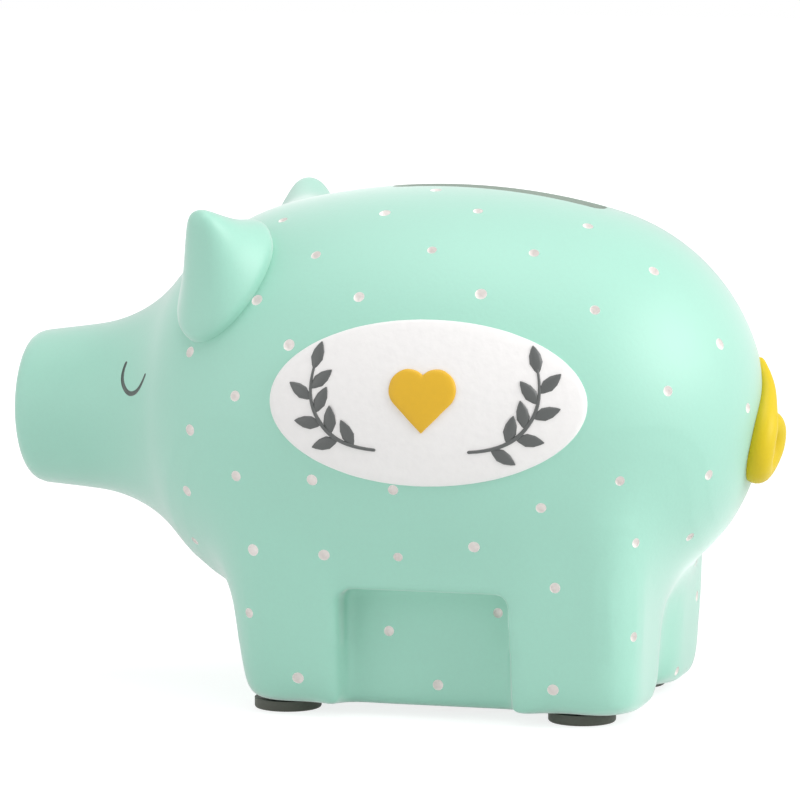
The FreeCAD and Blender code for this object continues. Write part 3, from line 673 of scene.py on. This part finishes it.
class MONEYBOX_OT_casting(bpy.types.Operator):
    """Make the painted casting, hollow, with its dots and closed eyes, and the ears on it"""

    bl_idname = "moneybox.casting"
    bl_label = "Casting"

    def execute(self, context):
        sizes = context.scene.moneybox_casting
        shape = merged_copy("body_shell")
        skin = outer_skin(shape)
        legs = seam_tree(shape, skin, at_leg_top)
        ends = seam_tree(shape, skin, at_end)
        seams = seam_tree(shape, skin)
        cutter = shape.copy()
        shape.faces.index_update()
        inner = {face.index for face in shape.faces if face not in skin}
        cutter.faces.ensure_lookup_table()
        outer = [face for face in cutter.faces if face.index not in inner]
        bmesh.ops.delete(cutter, geom=outer, context="FACES")
        inside = [face for face in shape.faces if face not in skin]
        bmesh.ops.delete(shape, geom=inside, context="FACES")
        rims = [edge for edge in shape.edges if edge.is_boundary]
        bmesh.ops.holes_fill(shape, edges=rims, sides=0)
        bmesh.ops.triangulate(shape, faces=shape.faces)

        mint = painted(
            "mint_painted_resin", sizes.mint, roughness=0.56, mottle=0.03, grain_mm=0.7,
            grain_depth_mm=0.03, haze=1, shine=1,
        )
        # Unpainted resin inside, made darker than bare resin as painted shade in the coin slot.
        bare_and_shade = painted(
            "bare_cast_resin", sizes.bare_resin_painted_shade, roughness=0.6, mottle=0.06, grain_mm=0.9,
            grain_depth_mm=0.08,
        )
        white = painted(
            "white_dot_paint", sizes.dot_white, roughness=0.45, mottle=0.03, grain_mm=0.5,
            grain_depth_mm=0.04,
        )
        grey = painted(
            "grey_line_paint", sizes.eye_grey, roughness=0.45, mottle=0.06, grain_mm=0.4,
            grain_depth_mm=0.02,
        )
        paints = [mint, bare_and_shade, white, grey]
        piece = new_piece("casting", shape, paints)
        grid = piece.modifiers.new("skin_grid", "REMESH")
        grid.mode = "VOXEL"
        grid.voxel_size = sizes.skin_grid
        apply_modifiers(piece)

        shape = bmesh.new()
        shape.from_mesh(piece.data)
        smooth(shape, shape.verts, sizes.skin_rounds)
        soften(shape, legs, sizes.leg_blend, sizes.leg_rounds)
        soften(shape, ends, sizes.end_blend, sizes.end_rounds)
        corners = [Vector((x, y, z)) * MM for x, y in LEG_CORNERS for z in LEG_CORNER_HEIGHTS]
        soften(shape, place_tree(corners), sizes.corner_blend, sizes.leg_rounds)
        soften(shape, seams, sizes.seam_blend, sizes.seam_rounds)
        low = [corner for corner in shape.verts if corner.co.z < FOOT_TOP]
        smooth(shape, low, sizes.foot_rounds)
        for face in shape.faces:
            face.material_index = MINT
        shape.normal_update()
        surface = BVHTree.FromBMesh(shape)
        shape.to_mesh(piece.data)
        shape.free()

        hollow_cutter(cutter, sizes.slot_slope, sizes.rim_slope)
        # The chamber, the slot's walls and the other openings take the bare resin, darkened as
        # painted shade.
        for face in cutter.faces:
            face.material_index = BARE_AND_SHADE
        take_in(cutter, pressed_dots(surface, sizes.dot_width, sizes.dot_depth, WHITE))
        take_in(cutter, eye_lines(surface, sizes.eye_width, GREY))
        tool = new_piece("cutter", cutter, paints)
        cut = piece.modifiers.new("hollow", "BOOLEAN")
        cut.operation = "DIFFERENCE"
        cut.solver = "MANIFOLD"
        cut.object = tool
        cut.material_mode = "TRANSFER"
        apply_modifiers(piece)
        bpy.data.objects.remove(tool)
        shape = bmesh.new()
        shape.from_mesh(piece.data)
        bmesh.ops.triangulate(shape, faces=shape.faces)
        bmesh.ops.dissolve_degenerate(shape, dist=SLIVER, edges=shape.edges)
        bmesh.ops.triangulate(shape, faces=shape.faces)
        shape.to_mesh(piece.data)
        shape.free()
        shade(piece, sharp_degrees=38)
        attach(piece, "pig")
        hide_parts("body_shell")

        _, outward, _, _ = surface.find_nearest(EAR_BASE)
        for node, hand, shift in (("ear_left", 1, Vector()), ("ear_right", -1, FAR_EAR_SHIFT)):
            petal = new_piece(node + "_petal", ear_petal(outward, hand, shift), [mint])
            rounded = petal.modifiers.new("rounded", "SUBSURF")
            rounded.levels = EAR_SUBDIVISION
            rounded.render_levels = EAR_SUBDIVISION
            apply_modifiers(petal)
            shade(petal, sharp_degrees=60)
            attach(petal, "pig")
            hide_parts(node)
        return {"FINISHED"}


# ---- plaque: a soft-edged oval on the flank, with a heart between two sprigs ----

# The edge from the foot inwards: shares of the outline's size, and heights over the flank in
# millimetres.
PLAQUE_EDGE = ((1, -0.8), (1, 0.55), (0.992, 0.9), (0.978, 1.1), (0.955, 1.2))
HEART_EDGE = ((1, 0.8), (1, 1.42), (0.97, 1.6), (0.92, 1.72), (0.85, 1.78), (0.75, 1.8))
# Share of the outline's size at which one face closes a patch, and the rings on the way there.
PATCH_CORE = 0.3
PLAQUE_STEPS, HEART_STEPS = 8, 3
# Faces of the heart whose normals point further than this to the near side are its front.
FRONT_FACING = 0.5
# The left sprig's stem, across and up from the plaque's middle, and half its thickness, in
# millimetres.
SPRIG_STEM = ((-9, -8.6), (-15, -8.2), (-20.5, -4.5), (-22.5, 2), (-21, 7.5))
STEM_RADII = (0.32, 0.42, 0.36, 0.25)
# A leaf from root to tip: the share of its length, and of its width there.
LEAF_RINGS = ((0, 0.12), (0.12, 0.5), (0.38, 1), (0.66, 0.86), (0.88, 0.42), (1, 0.06))
# The leaves: the share of the way up the stem, and the side they lean to; then how far they lean.
LEAF_PLACES = (
    (0.12, 1), (0.24, -1), (0.36, 1), (0.48, -1), (0.6, 1), (0.72, -1), (0.84, 1), (1, 0),
)
LEAF_LEAN = 1.1
# Share of a leaf's height that is left where it is narrowest.
LEAF_LEAST = 0.15


def flank_spot(surface, across, up):
    """Where a level line from the near side meets the surface: place and normal."""
    place, normal, _, _ = surface.ray_cast(Vector((across, -FAR_OFF, up)), Vector((0, 1, 0)))
    if place is None:
        raise RuntimeError("a place on the flank misses the surface")
    return place, normal


def raised_patch(shape, middle, edge, steps, surface):
    """Turns the closed outline in a bmesh into a soft-edged patch with its foot in the surface."""
    (_, foot), (last, top) = edge[0], edge[-1]
    shares = [PATCH_CORE + (1 - PATCH_CORE) * step / steps for step in range(steps)]
    profile = [(share, foot) for share in shares]
    profile += [*edge, *((last * share, top) for share in reversed(shares))]
    ring = list(shape.edges)
    corners = list(shape.verts)
    before = profile[0][0]
    about = Matrix.Translation(-middle)
    bmesh.ops.scale(shape, verts=corners, vec=(before, 1, before), space=about)
    bmesh.ops.edgeloop_fill(shape, edges=ring)
    raised = [(corner, foot) for corner in corners]
    for share, height in profile[1:]:
        ring, corners = extruded(shape, ring)
        scale = share / before
        bmesh.ops.scale(shape, verts=corners, vec=(scale, 1, scale), space=about)
        before = share
        raised += [(corner, height) for corner in corners]
    bmesh.ops.edgeloop_fill(shape, edges=ring)
    for corner, height in raised:
        place, normal = flank_spot(surface, corner.co.x, corner.co.z)
        corner.co = place + normal * height * MM
    bmesh.ops.recalc_face_normals(shape, faces=shape.faces)


def leaf_rings(root, normal, stem, side, sizes):
    """Rings of one leaf that lies on the plaque and leans from the stem's way to a side."""
    out = stem.cross(normal) * side
    way = (stem + out * LEAF_LEAN).normalized()
    out = way.cross(normal)
    rings = []
    for share, wide in LEAF_RINGS:
        centre = root + way * share * sizes.leaf_length
        proud = (LEAF_LEAST + (1 - LEAF_LEAST) * wide) * sizes.leaf_proud
        axes = Matrix((out * wide * sizes.leaf_width / 2, normal * proud, way * MM)).transposed()
        rings.append(Matrix.Translation(centre) @ axes.to_4x4())
    return rings


class MONEYBOX_OT_plaque(bpy.types.Operator):
    """Make the white oval plaque, its heart and the two sprigs beside it"""

    bl_idname = "moneybox.plaque"
    bl_label = "Plaque"

    def execute(self, context):
        sizes = context.scene.moneybox_plaque
        low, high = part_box("plaque")
        middle = (low + high) / 2
        half = (high - low) / 2
        flank = merged_copy("body_shell")
        skin = BVHTree.FromBMesh(flank)
        flank.free()

        shape = bmesh.new()
        oval = Matrix(((half.x, 0, 0), (0, 0, half.y), (0, half.z, 0))).to_4x4()
        bmesh.ops.create_circle(
            shape, radius=1, segments=128, matrix=Matrix.Translation(middle) @ oval,
        )
        raised_patch(shape, middle, PLAQUE_EDGE, PLAQUE_STEPS, skin)
        face = BVHTree.FromBMesh(shape)
        white = painted(
            "white_painted_resin", sizes.white, roughness=0.6, mottle=0.02, grain_mm=1.6,
            grain_depth_mm=0.12, haze=0, shine=0.2,
        )
        plaque = new_piece("plaque_face", shape, [white])
        shade(plaque, sharp_degrees=60)
        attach(plaque, "pig")
        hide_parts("plaque")

        shape = merged_copy("plaque_heart")
        hidden = [item for item in shape.faces if item.normal.y >= -FRONT_FACING]
        bmesh.ops.delete(shape, geom=hidden, context="FACES")
        inner = [edge for edge in shape.edges if not edge.is_boundary]
        bmesh.ops.delete(shape, geom=inner, context="EDGES")
        low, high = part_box("plaque_heart")
        raised_patch(shape, (low + high) / 2, HEART_EDGE, HEART_STEPS, skin)
        mustard = painted(
            "mustard_painted_resin", sizes.mustard, roughness=0.5, mottle=0.05, grain_mm=0.8,
            grain_depth_mm=0.04, haze=0, shine=0.4,
        )
        heart = new_piece("heart", shape, [mustard])
        shade(heart, sharp_degrees=50)
        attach(heart, "pig")
        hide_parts("plaque_heart")

        grey = painted(
            "dark_grey_paint", sizes.sprig_grey, roughness=0.45, mottle=0.08, grain_mm=0.5,
            grain_depth_mm=0.03,
        )
        for name, hand in (("sprig_left", 1), ("sprig_right", -1)):
            shape = bmesh.new()
            spots = [
                flank_spot(face, middle.x + hand * x * MM, middle.z + z * MM) for x, z in SPRIG_STEM
            ]
            line = smooth_path([place for place, _ in spots], resolution=6)
            line = [face.find_nearest(place)[0] for place in line]
            radii = [radius * MM for radius in STEM_RADII]
            drawn_through(shape, tube_rings(line, radii), segments=8)
            for along, side in LEAF_PLACES:
                index = min(round(along * (len(line) - 1)), len(line) - 2)
                root, normal, _, _ = face.find_nearest(line[index])
                stem = (line[index + 1] - line[index]).normalized()
                drawn_through(shape, leaf_rings(root, normal, stem, side, sizes), segments=12)
            sprig = new_piece(name, shape, [grey])
            shade(sprig, sharp_degrees=50)
            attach(sprig, "pig")
        return {"FINISHED"}


# ---- tail: a strand that comes down the rump and closes in a loop ----

# Height of the rump's end, and the tail across, up and out from it in millimetres, from the tip of
# the strand round the loop to its buried end.
TAIL_HEIGHT = 58.5 * MM
TAIL_LINE = (
    (6.6, 8, -1.9), (4.4, 4.6, 0.4), (0.4, 0.8, 0.9), (-3.9, -3.4, 1.5), (-5.2, -9.4, 0.3),
    (-1.2, -12.5, -1), (4, -9, 0.5), (3.8, -3.6, 1.7), (0.6, -2.2, 0.9), (-1.2, -4.8, -0.6),
)


class MONEYBOX_OT_tail(bpy.types.Operator):
    """Make the curled tail on the rump"""

    bl_idname = "moneybox.tail"
    bl_label = "Tail"

    def execute(self, context):
        sizes = context.scene.moneybox_tail
        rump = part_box("body_shell")[1].x
        line = smooth_path([
            Vector((rump + out * MM, across * MM, TAIL_HEIGHT + up * MM))
            for across, up, out in TAIL_LINE
        ], resolution=8)
        radii = [
            sizes.tip_radius, sizes.strand_radius, sizes.loop_radius, sizes.loop_radius,
            sizes.strand_radius,
        ]
        shape = bmesh.new()
        drawn_through(shape, tube_rings(line, radii), segments=24)
        yellow = painted(
            "yellow_painted_resin", sizes.yellow, roughness=0.5, mottle=0.05, grain_mm=0.8,
            grain_depth_mm=0.04, haze=0, shine=0.3,
        )
        tail = new_piece("tail_curl", shape, [yellow])
        shade(tail, sharp_degrees=60)
        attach(tail, "pig")
        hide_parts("tail")
        return {"FINISHED"}


# ---- rubber fittings: foot pads and stopper ----


class MONEYBOX_OT_fittings(bpy.types.Operator):
    """Give the foot pads and the stopper their rubber"""

    bl_idname = "moneybox.fittings"
    bl_label = "Rubber Fittings"

    def execute(self, context):
        sizes = context.scene.moneybox_fittings
        pad_rubber = moulded_rubber("moulded_dark_rubber", sizes.pad_grey, roughness=0.6)
        stopper_rubber = moulded_rubber("moulded_soft_pvc", sizes.stopper_grey, roughness=0.45)
        for name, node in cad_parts.items():
            if name.startswith("foot_pad"):
                node.data.materials.clear()
                node.data.materials.append(pad_rubber)
        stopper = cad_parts["stopper"]
        stopper.data.materials.clear()
        stopper.data.materials.append(stopper_rubber)
        return {"FINISHED"}


# ---- studio: floor, lights and camera ----

# The soft lights: name, place and side in metres, and the setting that holds the power.
LIGHTS = (
    ("key_light", (1.18, -0.12, 0.68), 0.8, "key_power"),
    ("top_light", (0, -0.15, 1.3), 0.9, "top_power"),
    ("fill_light", (-0.9, -0.9, 0.35), 0.9, "fill_power"),
)
# The floor's half side in metres, and how far it lies under the pads to stay clear of them.
FLOOR_HALF = 3
FLOOR_GAP = 0.05 * MM
# The floor as it is seen: its grey where shade falls, and its glow near the pig and away from it,
# with the distances in metres between which the glow rises.
FLOOR_SHADE = 0.35
FLOOR_GLOW = (0.8, 1.0)
GLOW_RISE = (0.15, 0.5)


def seen_directly(tree):
    """A socket that is one for rays that show a thing, and nought for those that only light it."""
    path = add_node(tree, "ShaderNodeLightPath")
    seen = add_node(tree, "ShaderNodeMath", {
        0: path.outputs["Is Camera Ray"], 1: path.outputs["Is Glossy Ray"],
    }, operation="MAXIMUM")
    seen = add_node(tree, "ShaderNodeMath", {
        0: seen.outputs[0], 1: path.outputs["Is Transmission Ray"],
    }, operation="MAXIMUM")
    return seen.outputs[0]


class MONEYBOX_OT_studio(bpy.types.Operator):
    """Set the white floor, the soft lights and the camera at the photograph's angle"""

    bl_idname = "moneybox.studio"
    bl_label = "Studio"

    def execute(self, context):
        sizes = context.scene.moneybox_studio
        scene = context.scene
        scene.view_settings.view_transform = "Standard"

        right, up, back = camera_axes()
        lens = bpy.data.cameras.new("photo_camera")
        lens.sensor_width = 36
        lens.lens = PHOTO_FOCUS / PHOTO_SIDE * lens.sensor_width
        lens.shift_x = 0.5 - TARGET_PIXEL[0] / PHOTO_SIDE
        lens.shift_y = TARGET_PIXEL[1] / PHOTO_SIDE - 0.5
        lens.clip_start = 10 * MM
        camera = bpy.data.objects.new("photo_camera", lens)
        camera.matrix_world = Matrix((right, up, back)).transposed().to_4x4()
        camera.location = TARGET + CAMERA_DISTANCE * back
        scene.collection.objects.link(camera)
        scene.camera = camera

        for name, spot, side, power in LIGHTS:
            lamp = bpy.data.lights.new(name, "AREA")
            lamp.size = side
            lamp.energy = getattr(sizes, power)
            light = bpy.data.objects.new(name, lamp)
            light.location = spot
            light.rotation_euler = (Vector(spot) - TARGET).to_track_quat("Z", "Y").to_euler()
            scene.collection.objects.link(light)

        world = bpy.data.worlds.new("white_studio")
        world.use_nodes = True
        tree = world.node_tree
        tree.nodes.clear()
        strength = add_node(tree, "ShaderNodeMapRange", {
            "Value": seen_directly(tree), "To Min": sizes.ambient, "To Max": 1.0,
        })
        sky = add_node(tree, "ShaderNodeBackground", {
            "Color": (1, 1, 1, 1), "Strength": strength.outputs["Result"],
        })
        add_node(tree, "ShaderNodeOutputWorld", {"Surface": sky.outputs["Background"]})
        scene.world = world

        shape = bmesh.new()
        lowered = Matrix.Translation((0, 0, -FLOOR_GAP))
        bmesh.ops.create_grid(shape, x_segments=8, y_segments=8, size=FLOOR_HALF, matrix=lowered)
        material, tree, output, place = new_material("white_paper")
        paper = add_node(tree, "ShaderNodeBsdfDiffuse", {"Color": (*sizes.floor_paper, 1)})
        shaded = add_node(tree, "ShaderNodeBsdfDiffuse", {"Color": (*[FLOOR_SHADE] * 3, 1)})
        away = add_node(tree, "ShaderNodeVectorMath", {0: place}, operation="LENGTH")
        rise = add_node(tree, "ShaderNodeMapRange", {
            "Value": away.outputs["Value"], "From Min": GLOW_RISE[0], "From Max": GLOW_RISE[1],
            "To Min": FLOOR_GLOW[0], "To Max": FLOOR_GLOW[1],
        })
        glow = add_node(tree, "ShaderNodeEmission", {
            "Color": (1, 1, 1, 1), "Strength": rise.outputs["Result"],
        })
        white = add_node(tree, "ShaderNodeAddShader", {
            0: shaded.outputs["BSDF"], 1: glow.outputs["Emission"],
        })
        both = add_node(tree, "ShaderNodeMixShader", {
            0: seen_directly(tree), 1: paper.outputs["BSDF"], 2: white.outputs["Shader"],
        })
        clear = add_node(tree, "ShaderNodeBsdfTransparent")
        side = add_node(tree, "ShaderNodeNewGeometry")
        sheet = add_node(tree, "ShaderNodeMixShader", {
            0: side.outputs["Backfacing"], 1: both.outputs["Shader"], 2: clear.outputs["BSDF"],
        })
        tree.links.new(sheet.outputs["Shader"], output.inputs["Surface"])
        new_piece("floor", shape, [material])
        return {"FINISHED"}


class MONEYBOX_PT_panel(bpy.types.Panel):
    """Sidebar panel that lists the pieces of the money box"""

    bl_idname = "MONEYBOX_PT_panel"
    bl_label = "Pig Money Box"
    bl_space_type = "VIEW_3D"
    bl_region_type = "UI"
    bl_category = "Money Box"

    def draw(self, context):
        for maker in OPERATORS:
            self.layout.operator(maker.bl_idname)


PROPERTIES = {
    "moneybox_casting": CastingProperties,
    "moneybox_plaque": PlaqueProperties,
    "moneybox_tail": TailProperties,
    "moneybox_fittings": FittingsProperties,
    "moneybox_studio": StudioProperties,
}
OPERATORS = (
    MONEYBOX_OT_casting,
    MONEYBOX_OT_plaque,
    MONEYBOX_OT_tail,
    MONEYBOX_OT_fittings,
    MONEYBOX_OT_studio,
)


def register():
    for name, group in PROPERTIES.items():
        bpy.utils.register_class(group)
        setattr(bpy.types.Scene, name, PointerProperty(type=group))
    for shown in (*OPERATORS, MONEYBOX_PT_panel):
        bpy.utils.register_class(shown)


def unregister():
    for shown in (MONEYBOX_PT_panel, *reversed(OPERATORS)):
        bpy.utils.unregister_class(shown)
    for name, group in reversed(PROPERTIES.items()):
        delattr(bpy.types.Scene, name)
        bpy.utils.unregister_class(group)


def main():
    register()
    bpy.ops.moneybox.casting()
    bpy.ops.moneybox.plaque()
    bpy.ops.moneybox.tail()
    bpy.ops.moneybox.fittings()
    bpy.ops.moneybox.studio()


if __name__ == "__main__":
    main()
